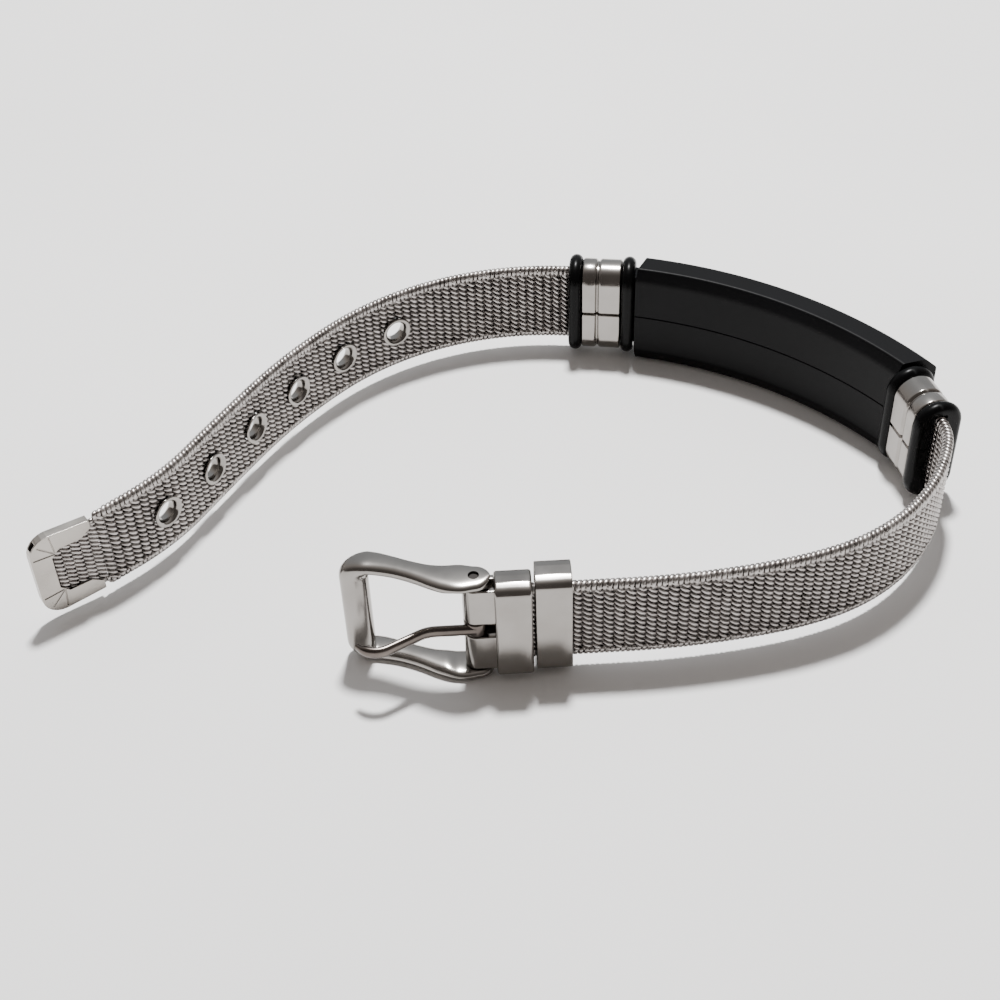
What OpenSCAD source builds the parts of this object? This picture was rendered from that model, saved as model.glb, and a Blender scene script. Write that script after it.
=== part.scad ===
// Cross bracelet: a woven steel band with a black rubber bar, two steel sleeves and a pin buckle.
// It stands open on its lower edge, as an S-shaped tail with six eyelets, the curved bar and a
// short strap that ends in the buckle. Millimetres, Z up, X along the longest extent.

/* [Band] */
// Height of the woven band, from its lower to its upper edge
band_h = 10.4; // [10:0.1:10.4]
// Thickness of the woven band
band_t = 1.2; // [1.1:0.05:1.3]
// Height of the middle line of every piece above the surface
mid_z = 6.8; // [6.8:0.1:8]

/* [Eyelets] */
// Number of eyelets in the tail
eyelet_count = 6; // [1:1:6]
// Distance from one eyelet to the next
eyelet_pitch = 7.85; // [7.5:0.05:7.85]
// Distance of the first eyelet from the left sleeve's outer ring
first_eyelet = 22.4; // [20:0.1:22.4]
// Radius of an eyelet's hole
eyelet_r = 1.15; // [1:0.05:1.2]
// Radius of an eyelet's rim
rim_r = 1.85; // [1.7:0.05:1.9]
// Thickness of an eyelet's rim
rim_t = 0.25; // [0.2:0.05:0.3]

/* [Tip] */
// Length of the folded steel tip on the tail's end
tip_l = 6.9; // [6.3:0.1:6.9]
// Height of the tip at the tail's end
tip_h = 10.4; // [10.3:0.1:10.8]
// How much lower each edge of the tip is on the band's side
tip_flare = 0.3; // [0.1:0.05:0.3]
// Thickness of the tip over both sheets
tip_t = 1; // [1:0.05:1.3]
// Height of the band inside the tip
pinch_h = 9.2; // [9:0.1:9.2]
// Thickness of the band inside the tip
pinch_t = 0.6; // [0.5:0.05:0.6]
// Width of the flaps that are folded round the band's inner face
flap_w = 2.2; // [1.8:0.1:2.4]

/* [Sleeves and rubber rings] */
// Length of a sleeve along the band
sleeve_l = 4.7; // [4.7:0.1:4.9]
// Height of a sleeve
sleeve_h = 12.2; // [12:0.1:12.4]
// Thickness of a sleeve
sleeve_t = 4.8; // [4.7:0.1:5]
// Width of a rubber ring along the band
ring_l = 1.6; // [1.6:0.05:1.8]
// Height of a rubber ring
ring_h = 13; // [12.8:0.1:13.2]
// Thickness of a rubber ring
ring_t = 5.6; // [5.5:0.1:5.8]

/* [Bar] */
// Height of the rubber bar
bar_h = 13.2; // [12.8:0.1:13.4]
// Depth of the bar's inner face from its middle line
bar_in = 2.7; // [2.5:0.1:2.8]
// Depth of the bar's outer face from its middle line
bar_out = 1.9; // [1.7:0.1:2]
// Radius of the bar's middle line
bar_r = 51.4; // [51:0.1:51.8]
// Length of the bar's arc before its ends are trimmed
bar_l = 38.6; // [38.5:0.1:38.8]

/* [Cross] */
// Length of the cross along the bar
cross_l = 20; // [14:1:24]
// Height of the cross
cross_h = 9; // [7:0.5:10]
// Width of the two strokes of the cross
cross_w = 2.6; // [2:0.1:3]
// Thickness of the cross plate
cross_t = 0.8; // [0.5:0.1:1]

/* [Buckle] */
// Height of the buckle frame at its ears
frame_h = 13.6; // [13.4:0.1:13.6]
// Thickness of the frame's two arms
arm_t = 1.1; // [1:0.05:1.1]
// Radius of the hinge pin
pin_r = 0.5; // [0.4:0.05:0.55]
// Height of the tongue's knuckle round the pin
knuckle_h = 1.7; // [1.5:0.1:1.7]
// Height of the tongue's bar
tongue_h = 1.1; // [0.9:0.1:1.3]
// Thickness of the tongue's bar
tongue_t = 0.75; // [0.6:0.05:0.9]
// Height of each of the clamp's two lugs
lug_h = 4.6; // [4.2:0.1:4.6]
// Height of the end clamp
clamp_h = 12.6; // [12.4:0.1:12.8]
// Thickness of the end clamp
clamp_t = 3.7; // [3.4:0.1:3.8]
// Length of the end clamp
clamp_l = 3.7; // [3.5:0.1:3.7]
// Height of the keeper loop
keeper_h = 12.8; // [12.6:0.1:13]
// Thickness of the keeper loop, outside
keeper_t = 4; // [3.8:0.1:4.1]
// Length of the keeper loop along the strap
keeper_l = 3.65; // [3.4:0.05:3.65]

/* [Hidden] */
$fn = 48;

steel = "silver";
woven = "darkgray";
rubber = "#26262a";

// A pose is [x, y, heading]; each sleeve's pose is on its outer ring's face, looking along the bar
left_end = [8.89, 27.15, -9];
right_end = [46.99, -3.7, 104];
bar_start = [16.59, 26.28, -15.2];

// A run is a list of stretches [length, turn in degrees], and a turn to the left is positive
tail_run = [[30.8, 54.4], [14, 12.6], [11.8, 2], [13.8, -26.5], [tip_l, 0]];
strap_run = [[3.6, -30.6], [21.6, -53.2], [6.6, -9.2], [15.3, -10.2], [14.7, 0]];
tongue_run = [[4, 0], [1.8, 29], [3.4, 0], [3.4, -80]];

// How far the clamp, the keeper and the tongue stand to the outside (or the inside) of the pin
clamp_out = 0.2;
keeper_out = -0.6;
tongue_out = 0.87;
// How deep the bands reach into a sleeve, and the bar's tenons too
band_depth = 2.4;
tenon_depth = 1.2;
tenon_h = 9.6;
tenon_t = 2.2;
// How much every second stretch of a swept piece is longer and larger than its neighbours
hair = 0.02;
// Room between two pieces that meet, and round a band in its slot
joint_gap = 0.05;
slot_gap = 0.1;
// Room between a sleeve's inner ring and the bar's trimmed end, and the slant of the left end
bar_gap = 0.1;
left_slant = 20;
pin_room = 0.05;
// Thickness of the tip's sheet at the tail's end, and how much lower than the band's middle it hangs
tip_wall = 0.3;
tip_drop = 0.3;

bar_run = [[bar_l, -bar_l / bar_r * 180 / PI]];
fitting_l = 2 * ring_l + sleeve_l + 2 * joint_gap;
reach = ring_l + joint_gap + band_depth;

function step_pose(p, stretch) =
    let (radians = stretch[1] * PI / 180,
         chord = radians == 0 ? stretch[0] : 2 * stretch[0] / radians * sin(stretch[1] / 2),
         way = p[2] + stretch[1] / 2)
    [p[0] + chord * cos(way), p[1] + chord * sin(way), p[2] + stretch[1]];
function end_pose(p, run, i = 0) = i == len(run) ? p : end_pose(step_pose(p, run[i]), run, i + 1);
function pose_at(p, run, s, i = 0) =
    i == len(run) - 1 || s <= run[i][0]
        ? step_pose(p, [s, run[i][1] * s / run[i][0]])
        : pose_at(step_pose(p, run[i]), run, s - run[i][0], i + 1);
function shifted(p, along, left) =
    [p[0] + along * cos(p[2]) - left * sin(p[2]), p[1] + along * sin(p[2]) + left * cos(p[2]), p[2]];
function turned(p, angle) = [p[0], p[1], p[2] + angle];

tail_start = turned(left_end, 180);
strap_start = turned(right_end, 180);
clasp = end_pose(strap_start, strap_run);

// Where the clamp, the lugs and the ears stand, measured from the pin along the clasp
clamp_face = -1.9;
strap_end = clamp_face - clamp_l + band_depth;
lug_gap = knuckle_h / 2 + 0.1;
knuckle_r = 1.25;
ear_r = 1.6;
ear_low = frame_h / 2 - arm_t;

// The arm's sections: [distance from the pin, half width, shift towards the wrist]
arm_rows = [[0, 1.6, 0], [1.2, 1.8, 0.05], [2.6, 1.65, 0.15], [4, 1.4, 0.5], [6, 1.15, 1.4],
            [8, 1.15, 2.3], [9.6, 1.25, 2.85], [11.4, 1.2, 3.15], [13, 0.8, 3.1]];
front_bar = [10.4, 13.3];
front_in = 4.1;
front_out = 2.1;
front_cut = 0.5;
corner_cut = 1.3;

// Points of a smooth curve through the rows of a table, four steps from one row to the next
function blend(a, b, c, d, t) =
    0.5 * (2 * b + (c - a) * t + (2 * a - 5 * b + 4 * c - d) * t * t + (3 * b - a - 3 * c + d) * t * t * t);
function smooth(rows, steps = 4) =
    let (last = len(rows) - 1)
    [for (i = [0:last - 1]) for (k = [0:i == last - 1 ? steps : steps - 1])
        blend(rows[max(i - 1, 0)], rows[i], rows[i + 1], rows[min(i + 2, last)], k / steps)];

function corner(centre, r, from, steps = 6) =
    [for (k = [0:steps]) centre + r * [cos(from + 90 * k / steps), sin(from + 90 * k / steps)]];
function rounded(w, h, r) =
    concat(corner([w / 2 - r, h / 2 - r], r, 0), corner([r - w / 2, h / 2 - r], r, 90),
           corner([r - w / 2, r - h / 2], r, 180), corner([w / 2 - r, r - h / 2], r, 270));
function chamfered(w, h, c) =
    [[w / 2 - c, h / 2], [c - w / 2, h / 2], [-w / 2, h / 2 - c], [-w / 2, c - h / 2],
     [c - w / 2, -h / 2], [w / 2 - c, -h / 2], [w / 2, c - h / 2], [w / 2, h / 2 - c]];

// Stands its children at a pose, on the common middle line
module at(p) {
    translate([p[0], p[1], mid_z]) rotate(p[2]) children();
}

module flipped(on) {
    if (on)
        mirror([0, 1, 0]) children();
    else
        children();
}

// Sweeps a flat section, drawn as [left, up], along a run that starts at the origin along X.
// Every second stretch is a hair longer, and its section a hair larger, so that neighbours merge.
module sweep(run, i = 0) {
    $swell = i % 2 * hair;
    if (i < len(run)) {
        length = run[i][0];
        turn = run[i][1];
        if (turn == 0)
            translate([-$swell, 0, 0]) rotate([90, 0, 90]) linear_extrude(length + 2 * $swell) children();
        else {
            radius = length / (abs(turn) * PI / 180);
            more = $swell / radius * 180 / PI;
            flipped(turn < 0)
                translate([0, radius, 0]) rotate(-90 - more) rotate_extrude(angle = abs(turn) + 2 * more)
                    translate([radius, 0]) mirror([turn > 0 ? 1 : 0, turn > 0 ? 0 : 1]) children();
        }
        next = step_pose([0, 0, 0], run[i]);
        translate([next[0], next[1], 0]) rotate(next[2]) sweep(run, i + 1) children();
    }
}

// A flat-sided ring body along X: a half profile, drawn as [radius, along], round two end arcs
module stadium(h, t) {
    straight = h - t;
    for (side = [0, 1])
        mirror([0, 0, side])
            translate([0, 0, straight / 2]) rotate([0, 90, 0]) rotate_extrude(angle = 180, start = 90)
                children();
    linear_extrude(straight, center = true)
        for (side = [0, 1])
            mirror([0, side]) mirror([1, -1]) children();
}

// A slot along X for a band or a tenon
module slot(length, h, t) {
    translate([0, -t / 2, -h / 2]) cube([length, t, h]);
}

module band_section() {
    polygon(chamfered(band_t + $swell, band_h + $swell, 0.4));
}

module tail_band() {
    hole_r = rim_r - 0.3;
    overlap = 0.5;
    color(woven) difference() {
        union() {
            at(shifted(tail_start, -reach, 0))
                sweep(concat([[reach, 0]], [for (k = [0:3]) tail_run[k]])) band_section();
            at(shifted(end_pose(tail_start, tail_run), -tip_l - overlap, 0)) translate([0, 0, -tip_drop])
                sweep([[overlap + tip_l - tip_wall - slot_gap, 0]])
                    polygon(chamfered(pinch_t, pinch_h, 0.2));
        }
        for (k = [1:eyelet_count])
            at(eyelet_pose(k)) rotate([90, 0, 0]) cylinder(r = hole_r, h = 3 * band_t, center = true);
    }
}

function eyelet_pose(k) = pose_at(tail_start, tail_run, first_eyelet + (k - 1) * eyelet_pitch);

// A flanged tube that is spread over both faces of the band
module eyelet(k) {
    rim_gap = 0.06;
    half = band_t / 2 + rim_gap;
    lip = 0.1;
    tube_r = rim_r - 0.35;
    color(steel) at(eyelet_pose(k)) rotate([90, 0, 0]) difference() {
        union() {
            cylinder(r = tube_r, h = 2 * half, center = true);
            for (side = [0, 1])
                mirror([0, 0, side]) translate([0, 0, half]) {
                    cylinder(r = rim_r, h = rim_t - lip);
                    translate([0, 0, rim_t - lip]) cylinder(r1 = rim_r, r2 = rim_r - lip, h = lip);
                }
        }
        cylinder(r = eyelet_r, h = 4 * band_t, center = true);
    }
}

// The outline of the tip's sheet, drawn as [distance from the tail's end, height]
function tip_sheet(r) =
    let (open_end = tip_l - joint_gap, edge = tip_h / 2 - tip_flare)
    concat([[open_end, -edge], [open_end, edge]], corner([r, tip_h / 2 - r], r, 90),
           corner([r, r - tip_h / 2], r, 180));

// The window between the flaps, open towards the band, with slanting flap ends
function tip_window() =
    let (inner = tip_h / 2 - flap_w, cut = 0.9, slant = 1.3)
    [[flap_w + cut, -inner], [flap_w, cut - inner], [flap_w, inner - cut], [flap_w + cut, inner],
     [tip_l - slant, inner], [tip_l + 1, inner + 1.6], [tip_l + 1, -inner - 1.6], [tip_l - slant, -inner]];

module end_tip() {
    corner_r = 2.3;
    crease = 0.14;
    fold = [flap_w + 0.45, tip_h / 2 - flap_w - 0.45];
    color(steel) at(turned(end_pose(tail_start, tail_run), 180)) translate([0, 0, -tip_drop])
        rotate([90, 0, 0]) difference() {
            linear_extrude(tip_t, center = true) polygon(tip_sheet(corner_r));
            translate([tip_wall, -pinch_h / 2 - slot_gap, -pinch_t / 2 - slot_gap / 2])
                cube([tip_l, pinch_h + 2 * slot_gap, pinch_t + slot_gap]);
            linear_extrude(tip_t) polygon(tip_window());
            for (side = [0, 1], fan = [-40, 0, 40])
                mirror([0, side]) translate([fold[0], fold[1], tip_t / 2]) rotate(135 + fan)
                    rotate([45, 0, 0]) translate([0, -crease / 2, -crease / 2]) cube([2.4, crease, crease]);
        }
}

// A rubber ring with a round rim, its face at x = 0, and a slot through it
module rubber_ring(hole_h, hole_t) {
    rim = ring_l / 2;
    difference() {
        stadium(ring_h, ring_t)
            polygon(concat([[0, 0]], [for (k = [0:8])
                [ring_t / 2 - rim + rim * sin(180 * k / 8), rim - rim * cos(180 * k / 8)]], [[0, ring_l]]));
        translate([-1, 0, 0]) slot(ring_l + 2, hole_h, hole_t);
    }
}

module outer_ring(p) {
    color(rubber) at(p) rubber_ring(band_h + 2 * slot_gap, band_t + 2 * slot_gap);
}

module inner_ring(p) {
    color(rubber) at(shifted(p, fitting_l - ring_l, 0))
        rubber_ring(tenon_h + 2 * slot_gap, tenon_t + 2 * slot_gap);
}

// A steel sleeve with two ridges, a seam on its inner face and a pocket in each end
module sleeve(p, inner_side) {
    edge = 0.25;
    low = 0.3;
    groove = 0.4 * sleeve_l;
    r = sleeve_t / 2;
    seam = 0.2;
    color(steel) at(shifted(p, ring_l + joint_gap, 0)) difference() {
        stadium(sleeve_h, sleeve_t)
            polygon([[0, 0], [r - edge, 0], [r, edge], [r, groove - low], [r - low, groove - 0.05],
                     [r - low, groove + 0.05], [r, groove + low], [r, sleeve_l - edge],
                     [r - edge, sleeve_l], [0, sleeve_l]]);
        translate([-1, 0, 0]) slot(band_depth + slot_gap + 1, band_h + 2 * slot_gap, band_t + 2 * slot_gap);
        translate([sleeve_l - tenon_depth - slot_gap, 0, 0])
            slot(tenon_depth + 1, tenon_h + 2 * slot_gap, tenon_t + 2 * slot_gap);
        translate([-1, inner_side * r, 0]) rotate([45, 0, 0])
            translate([0, -seam, -seam]) cube([sleeve_l + 2, 2 * seam, 2 * seam]);
    }
}

// The bar's section: a flat inner face with a slit, a flat top and bottom, and sloping edges
module bar_section() {
    slope = 1.5;
    slit = 0.1;
    half = bar_h / 2;
    polygon([[-bar_in, slit], [slit - bar_in, 0], [-bar_in, -slit], [-bar_in, slope - half],
             [0.6 - bar_in, -half], [0.5, -half], [bar_out, 1.4 - half], [bar_out, half - 1.4],
             [0.5, half], [0.6 - bar_in, half], [-bar_in, half - slope]]);
}

// The bar's arc, trimmed along each sleeve, with a tenon through each inner ring
module bar() {
    trim = 12;
    color(rubber) {
        difference() {
            at(bar_start) sweep(bar_run) bar_section();
            at(shifted(left_end, fitting_l + bar_gap, -bar_in)) rotate(-left_slant)
                translate([-trim, -trim, -trim]) cube([trim, 2 * trim, 2 * trim]);
            at(shifted(right_end, fitting_l + bar_gap, 0))
                translate([-trim, -trim, -trim]) cube([trim, 2 * trim, 2 * trim]);
        }
        for (p = [left_end, right_end])
            at(shifted(p, ring_l + joint_gap + sleeve_l - tenon_depth, 0))
                slot(tenon_depth + joint_gap + ring_l + bar_gap + 2, tenon_h, tenon_t);
    }
}

// A plain cross that lies along the outer face of the bar, its short stroke a little further out.
// A stroke is [start along the bar, length along the bar, height, distance from the bar].
module cross_plate() {
    rate = bar_run[0][1] / bar_l;
    first = (bar_l - cross_l) / 2;
    raised = 0.15;
    strokes = [[first, cross_l, cross_w, joint_gap], [first + 0.62 * cross_l, cross_w, cross_h, raised]];
    color(steel)
        for (stroke = strokes)
            at(pose_at(bar_start, bar_run, stroke[0])) sweep([[stroke[1], rate * stroke[1]]])
                translate([bar_out + stroke[3], -stroke[2] / 2]) square([cross_t, stroke[2]]);
}

module short_band() {
    straight = strap_run[4][0] + strap_end;
    color(woven) at(shifted(strap_start, -reach, 0))
        sweep(concat([[reach, 0]], [for (k = [0:3]) strap_run[k]], [[straight, 0]])) band_section();
}

// The clamp on the strap's end, with two lugs that carry the pin
module end_clamp() {
    neck_t = 2;
    color(steel) at(clasp) difference() {
        union() {
            translate([clamp_face - clamp_l, clamp_out, 0]) rotate([90, 0, 90])
                linear_extrude(clamp_l) polygon(rounded(clamp_t, clamp_h, 0.9));
            for (side = [0, 1])
                mirror([0, 0, side]) translate([0, 0, lug_gap]) {
                    cylinder(r = knuckle_r, h = lug_h);
                    translate([clamp_face - 0.5, -neck_t / 2, 0]) cube([0.5 - clamp_face, neck_t, lug_h]);
                }
        }
        translate([clamp_face - clamp_l - 1, 0, 0])
            slot(band_depth + slot_gap + 1, band_h + 2 * slot_gap, band_t + 2 * slot_gap);
        cylinder(r = pin_r + 0.02, h = frame_h, center = true);
    }
}

module hinge_pin() {
    recess = 0.3;
    color(steel) at(clasp) cylinder(r = pin_r, h = frame_h - 2 * recess, center = true);
}

module keeper() {
    wall = 0.4;
    room = 0.3;
    color(steel) at(shifted(clasp, clamp_face - clamp_l - room - keeper_l, keeper_out))
        rotate([90, 0, 90]) linear_extrude(keeper_l) difference() {
            polygon(rounded(keeper_t, keeper_h, 0.9));
            polygon(rounded(keeper_t - 2 * wall, keeper_h - 2 * wall, 0.5));
        }
}

// The plan of an arm: the ear round the pin, then the curve to the front bar
module arm_plan() {
    rows = smooth(arm_rows);
    far = [for (row = rows) [row[0], -row[2] - row[1]]];
    near = [for (k = [len(rows) - 1:-1:0]) [rows[k][0], rows[k][1] - rows[k][2]]];
    circle(r = ear_r);
    polygon(concat(far, near));
}

module front_section() {
    c = front_cut;
    u0 = front_bar[0];
    u1 = front_bar[1];
    polygon([[u0 + c, -front_in], [u1 - c - 0.6, -front_in], [u1, c + 0.6 - front_in], [u1, -front_out - c],
             [u1 - c, -front_out], [u0 + c, -front_out], [u0, -front_out - c], [u0, c - front_in]]);
}

module buckle_frame() {
    color(steel) at(clasp) difference() {
        union() {
            for (side = [0, 1])
                mirror([0, 0, side]) translate([0, 0, ear_low]) linear_extrude(arm_t) arm_plan();
            linear_extrude(frame_h, center = true) front_section();
        }
        cylinder(r = pin_r + pin_room, h = 2 * frame_h, center = true);
        for (side = [0, 1])
            mirror([0, 0, side]) translate([front_bar[1], 0, frame_h / 2]) rotate([0, 45, 0])
                cube([corner_cut, 20, corner_cut * 2], center = true);
    }
}

module tongue() {
    color(steel) at(clasp) difference() {
        union() {
            cylinder(r = knuckle_r, h = knuckle_h, center = true);
            translate([0, tongue_out, 0]) sweep(tongue_run)
                polygon(chamfered(tongue_t + $swell, tongue_h + $swell, 0.2));
        }
        cylinder(r = pin_r + pin_room, h = 2 * knuckle_h, center = true);
    }
}

tail_band();
end_tip();
outer_ring(left_end);  // left_outer_ring
sleeve(left_end, -1);  // left_sleeve
inner_ring(left_end);  // left_inner_ring
bar();
cross_plate();
inner_ring(right_end);  // right_inner_ring
sleeve(right_end, 1);  // right_sleeve
outer_ring(right_end);  // right_outer_ring
short_band();
end_clamp();
hinge_pin();
keeper();
buckle_frame();
tongue();
for (k = [1:eyelet_count])
    eyelet(k);
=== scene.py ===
"""Looks of the cross bracelet: woven steel wire bands, polished steel fittings and a black rubber bar.

Sizes are in millimetres until a mesh is made. The courses of the bands, the bar and the clasp repeat
the runs of part.scad: a run is a list of stretches [length, turn in degrees], and it starts from a
pose [x, y, heading].
"""
import math
import bpy
import numpy as np
from mathutils import Matrix, Vector


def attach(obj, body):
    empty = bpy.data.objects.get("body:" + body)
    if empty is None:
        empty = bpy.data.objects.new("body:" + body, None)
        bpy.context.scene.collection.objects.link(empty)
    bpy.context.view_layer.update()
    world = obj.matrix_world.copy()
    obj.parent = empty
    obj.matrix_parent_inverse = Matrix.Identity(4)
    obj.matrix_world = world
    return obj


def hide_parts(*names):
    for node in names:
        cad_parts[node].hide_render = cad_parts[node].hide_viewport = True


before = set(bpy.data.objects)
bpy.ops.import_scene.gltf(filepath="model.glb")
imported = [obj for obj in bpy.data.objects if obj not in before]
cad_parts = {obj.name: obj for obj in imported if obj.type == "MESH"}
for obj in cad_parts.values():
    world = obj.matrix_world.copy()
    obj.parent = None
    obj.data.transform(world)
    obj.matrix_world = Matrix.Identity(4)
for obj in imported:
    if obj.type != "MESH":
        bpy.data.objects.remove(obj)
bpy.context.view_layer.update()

# A millimetre in metres, and the height of the bracelet's middle line in millimetres
MM = 0.001
MID_Z = 6.8

# The courses of part.scad
LEFT_END = (8.89, 27.15, -9)
RIGHT_END = (46.99, -3.7, 104)
BAR_START = (16.59, 26.28, -15.2)
BAR_L, BAR_R = 38.6, 51.4
TIP_L = 6.9
TAIL_RUN = [(30.8, 54.4), (14, 12.6), (11.8, 2), (13.8, -26.5), (TIP_L, 0)]
STRAP_RUN = [(3.6, -30.6), (21.6, -53.2), (6.6, -9.2), (15.3, -10.2), (14.7, 0)]
TONGUE_RUN = [(4, 0), (1.8, 29), (3.4, 0), (3.4, -80)]
TAIL_L = sum(length for length, turn in TAIL_RUN)
STRAP_L = sum(length for length, turn in STRAP_RUN)

# Sizes of part.scad
BAND_H, BAND_T = 10.4, 1.2
PINCH_H, PINCH_T, TIP_DROP = 9.2, 0.6, 0.3
EYELETS, EYELET_PITCH, FIRST_EYELET = 6, 7.85, 22.4
EYELET_R, RIM_R, RIM_T = 1.15, 1.85, 0.25
RING_L, RING_H, RING_T = 1.6, 13, 5.6
SLEEVE_L, SLEEVE_H, SLEEVE_T = 4.7, 12.2, 4.8
TENON_H, TENON_T = 9.6, 2.2
JOINT_GAP, SLOT_GAP, BAR_GAP = 0.05, 0.1, 0.03
FITTING_L = 2 * RING_L + SLEEVE_L + 2 * JOINT_GAP
BAND_DEPTH = 2.4
BAR_H, BAR_IN, BAR_OUT = 13.2, 2.7, 1.9
CLAMP_FACE, CLAMP_L, CLAMP_H, CLAMP_T, CLAMP_OUT = -1.9, 3.7, 12.6, 3.7, 0.2
LUG_LOW, LUG_H, KNUCKLE_R = 0.95, 4.6, 1.25
KEEPER_L, KEEPER_H, KEEPER_T, KEEPER_OUT = 3.65, 12.8, 4.0, -0.6
FRAME_H, ARM_T = 13.6, 1.1
PIN_R = 0.5


# Courses

def course(start, run, s):
    """Points and headings at the distances s along a run, as three arrays.

    On an arc of length l that turns by a, the point at distance d lies on the chord of length
    d * sin(x) / x with x = a d / 2 l, which leaves the arc's start at the heading plus x. Before the
    start the course goes straight back.
    """
    s = np.asarray(s, float)
    x = np.full(s.shape, float(start[0]))
    y = np.full(s.shape, float(start[1]))
    h = np.zeros(s.shape)
    px, py, heading, done = float(start[0]), float(start[1]), math.radians(start[2]), 0.0
    back = s < 0
    x[back] += s[back] * math.cos(heading)
    y[back] += s[back] * math.sin(heading)
    h[back] = heading
    for k, (length, turn) in enumerate(run):
        end = done + length
        here = (s >= done) & ((s < end) | (k == len(run) - 1))
        d = s[here] - done
        half = math.radians(turn) * d / length / 2
        chord = d * np.sinc(half / math.pi)
        x[here] = px + chord * np.cos(heading + half)
        y[here] = py + chord * np.sin(heading + half)
        h[here] = heading + 2 * half
        half = math.radians(turn) / 2
        chord = length * np.sinc(half / math.pi)
        px += chord * math.cos(heading + half)
        py += chord * math.sin(heading + half)
        heading += 2 * half
        done = end
    return x, y, h


def turned(pose):
    """The pose that looks the other way."""
    return pose[0], pose[1], pose[2] + 180


def pose_at(start, run, s):
    x, y, h = course(start, run, np.array([s]))
    return float(x[0]), float(y[0]), math.degrees(float(h[0]))


def stand(pose, along, left, up):
    """World points of local ones: along the pose's heading, to its left, and up from the middle line."""
    a = math.radians(pose[2])
    along, left, up = np.broadcast_arrays(along, left, up)
    return np.stack([pose[0] + along * math.cos(a) - left * math.sin(a),
                     pose[1] + along * math.sin(a) + left * math.cos(a), MID_Z + up], -1)


def lay(start, run, s, left, up):
    """World points of a flat layout bent along a run: s along it, then to its left, and up."""
    x, y, h = course(start, run, s)
    return np.stack([x - left * np.sin(h), y + left * np.cos(h), MID_Z + up], -1)


def offset_pose(pose, along, left=0.0):
    p = stand(pose, along, left, 0.0)
    return float(p[0]), float(p[1]), pose[2]


TAIL_START = turned(LEFT_END)
STRAP_START = turned(RIGHT_END)
CLASP = pose_at(STRAP_START, STRAP_RUN, STRAP_L)


# Meshes

def grid_faces(rows, cols, rows_closed, cols_closed):
    """Quads of a grid of rows x cols points, wrapped round in each direction that is closed."""
    r = np.arange(rows if rows_closed else rows - 1)
    c = np.arange(cols if cols_closed else cols - 1)
    r, c = np.meshgrid(r, c, indexing="ij")
    r2, c2 = (r + 1) % rows, (c + 1) % cols
    return np.stack([r * cols + c, r * cols + c2, r2 * cols + c2, r2 * cols + c], -1).reshape(-1, 4)


def capped(rows, cols):
    """Faces of a tube of rows rings with cols points each, closed by a face on both end rings."""
    faces = grid_faces(rows, cols, False, True).tolist()
    return faces + [list(range(cols))[::-1], list(range((rows - 1) * cols, rows * cols))]


def volume(points, faces):
    """Six times the signed volume inside the faces, each taken as a fan from its first corner."""
    total = 0.0
    for corners in {len(f) for f in faces}:
        f = np.array([g for g in faces if len(g) == corners])
        for k in range(1, corners - 1):
            cross = np.cross(points[f[:, k]], points[f[:, k + 1]])
            total += np.einsum("ij,ij->", points[f[:, 0]], cross)
    return total


def outward(points, faces):
    """The faces of a closed shell, turned round where they face into it."""
    if volume(points - points.mean(0), faces) < 0:
        return [f[::-1] for f in faces]
    return faces


def piece(name, shells, material, body, nodes, sharp=35, weighted=True):
    """Makes one object of closed shells, each (points in mm, faces), with its faces turned outwards."""
    points, faces, base = [], [], 0
    for shell_points, shell_faces in shells:
        shell_points = np.asarray(shell_points, float).reshape(-1, 3)
        shell_faces = outward(shell_points, [list(map(int, f)) for f in shell_faces])
        faces += [[i + base for i in f] for f in shell_faces]
        points.append(shell_points)
        base += len(shell_points)
    mesh = bpy.data.meshes.new(name)
    mesh.from_pydata((np.concatenate(points) * MM).tolist(), [], faces)
    mesh.polygons.foreach_set("use_smooth", np.ones(len(mesh.polygons), bool))
    mesh.set_sharp_from_angle(angle=math.radians(sharp))
    mesh.update()
    obj = bpy.data.objects.new(name, mesh)
    bpy.context.scene.collection.objects.link(obj)
    if weighted:
        soften = obj.modifiers.new("even_normals", "WEIGHTED_NORMAL")
        soften.keep_sharp = True
    obj.data.materials.append(material)
    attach(obj, body)
    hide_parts(*nodes)
    return obj


def superellipse(around, power):
    """Points round the curve |x|^power + |y|^power = 1, at even angles of its parameter."""
    t = np.linspace(0, 2 * math.pi, around, endpoint=False)
    return (np.sign(np.cos(t)) * np.abs(np.cos(t)) ** (2 / power),
            np.sign(np.sin(t)) * np.abs(np.sin(t)) ** (2 / power))


def arc(cx, cy, r, start, stop, steps=5):
    """Points of an arc round (cx, cy) from the start to the stop angle in degrees."""
    a = np.radians(np.linspace(start, stop, steps))
    return np.stack([cx + r * np.cos(a), cy + r * np.sin(a)], -1)


def rounded_loop(height, thickness, radius, steps=10, middle=(0.0,)):
    """Points round an upright rounded rectangle, as left and up, and the outward direction at each.

    Four quarter circles of the radius stand on the corners of the rectangle inside. The two long
    straights between them also get a point at each of the middle heights.
    """
    angle = np.linspace(0, math.pi / 2, steps)
    heights = np.asarray(middle, float)
    flat = np.zeros(len(heights))
    corner_left, corner_up = thickness / 2 - radius, height / 2 - radius
    left, up, out_left, out_up = [], [], [], []
    for k in range(4):
        a = angle + k * math.pi / 2
        side_left = 1 if k in (0, 3) else -1
        side_up = 1 if k in (0, 1) else -1
        left.append(side_left * corner_left + radius * np.cos(a))
        up.append(side_up * corner_up + radius * np.sin(a))
        out_left.append(np.cos(a))
        out_up.append(np.sin(a))
        if k in (1, 3):
            side = -1 if k == 1 else 1
            left.append(flat + side * thickness / 2)
            up.append(heights * side)
            out_left.append(flat + side)
            out_up.append(flat)
    return tuple(np.concatenate(v) for v in (left, up, out_left, out_up))


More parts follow.
